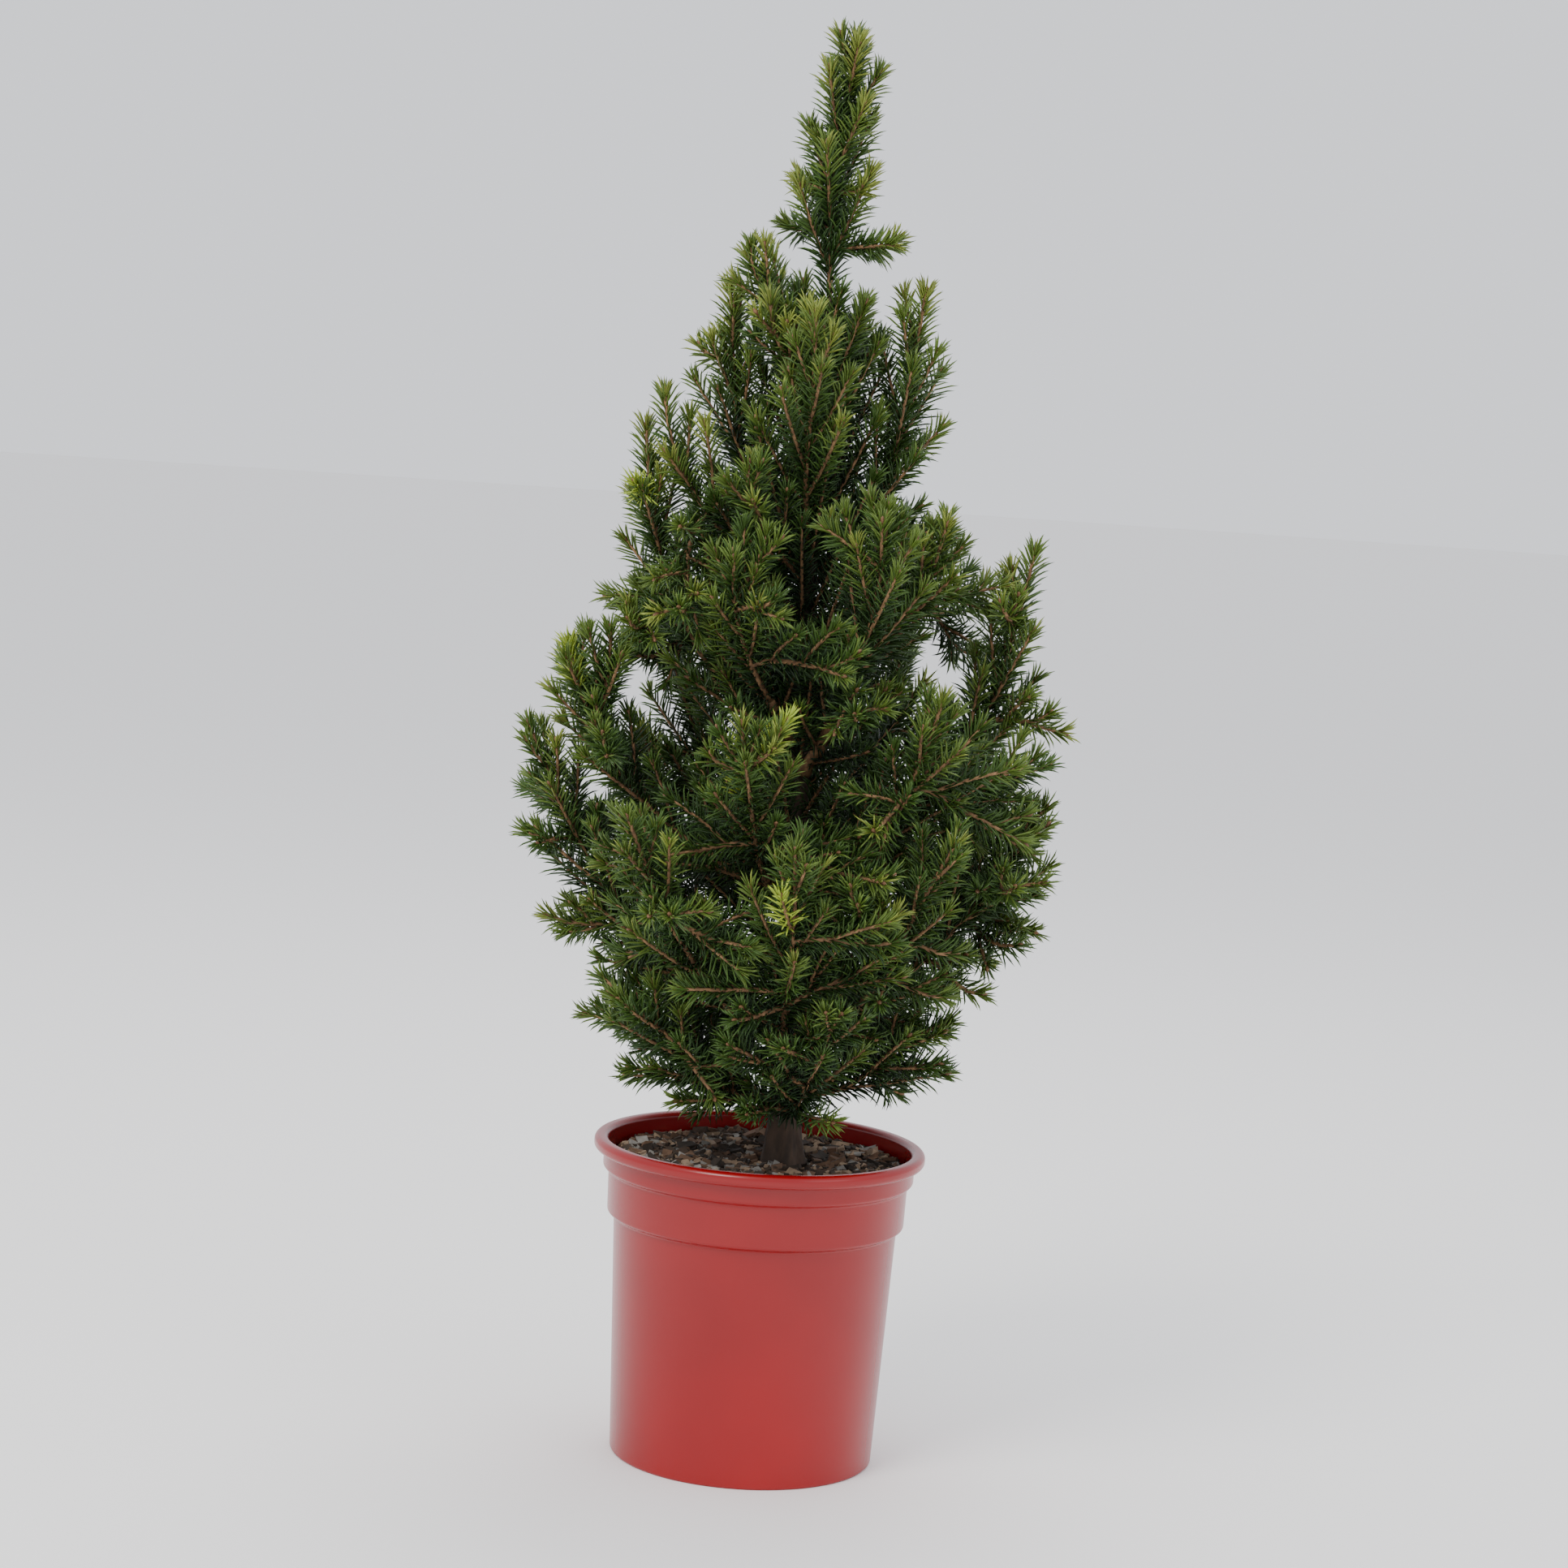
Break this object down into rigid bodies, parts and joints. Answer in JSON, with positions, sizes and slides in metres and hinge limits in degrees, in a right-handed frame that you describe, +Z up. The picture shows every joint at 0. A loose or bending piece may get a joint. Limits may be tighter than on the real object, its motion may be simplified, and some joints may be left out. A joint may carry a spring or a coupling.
{
  "type": "potted dwarf alberta spruce",
  "caption": "Young dwarf spruce with a dense pointed crown of short needles on upright shoots, in a round stepped plastic nursery pot filled with bark potting mix.",
  "frame": {"origin": "the middle of the pot's flat underside, on the surface that the pot stands on", "axes": "+Z up along the pot's axis; -Y is the side that the picture shows, +X is to its right"},
  "size_m": [0.2506, 0.2531, 0.633],
  "materials": {
    "pot_plastic": "satin",
    "potting_mix": "matte",
    "trunk_bark": "matte",
    "bough_bark": "matte",
    "needles": "matte"
  },
  "bodies": {
    "root": {"pot": "pot_plastic", "soil": "potting_mix", "trunk": "trunk_bark", "bough_left_tall": "bough_bark", "bough_front_left_tall": "bough_bark", "bough_front_right_tall": "bough_bark", "bough_right_tall": "bough_bark", "bough_back_right_tall": "bough_bark", "bough_back_left_tall": "bough_bark", "bough_right_broad": "bough_bark", "bough_left_broad": "bough_bark", "bough_front_broad": "bough_bark", "bough_front_right_broad": "bough_bark", "bough_back_right_broad": "bough_bark", "bough_back_left_broad": "bough_bark", "bough_left_wide": "bough_bark", "bough_front_left_wide": "bough_bark", "bough_front_wide": "bough_bark", "bough_front_right_wide": "bough_bark", "bough_right_wide": "bough_bark", "bough_back_right_wide": "bough_bark", "bough_back_wide": "bough_bark", "bough_back_left_wide": "bough_bark", "mass_high_left": "needles", "mass_high_front": "needles", "mass_high_back_right": "needles", "mass_high_back_left": "needles", "mass_front_high": "needles", "mass_front_left_high": "needles", "mass_right_high": "needles", "mass_left_high": "needles", "mass_left_mid": "needles", "mass_back_high": "needles", "mass_skirt_right": "needles", "mass_skirt_front": "needles", "mass_skirt_left": "needles", "mass_skirt_back_left": "needles", "mass_skirt_back_right": "needles", "mass_leader": "needles", "mass_left_tall": "needles", "mass_front_left_tall": "needles", "mass_front_right_tall": "needles", "mass_right_tall": "needles", "mass_back_right_tall": "needles", "mass_back_left_tall": "needles", "mass_right_broad": "needles", "mass_left_broad": "needles", "mass_front_broad": "needles", "mass_front_right_broad": "needles", "mass_back_right_broad": "needles", "mass_back_left_broad": "needles", "mass_left_wide": "needles", "mass_front_left_wide": "needles", "mass_front_wide": "needles", "mass_front_right_wide": "needles", "mass_right_wide": "needles", "mass_back_right_wide": "needles", "mass_back_wide": "needles", "mass_back_left_wide": "needles"}
  },
  "joints": []
}
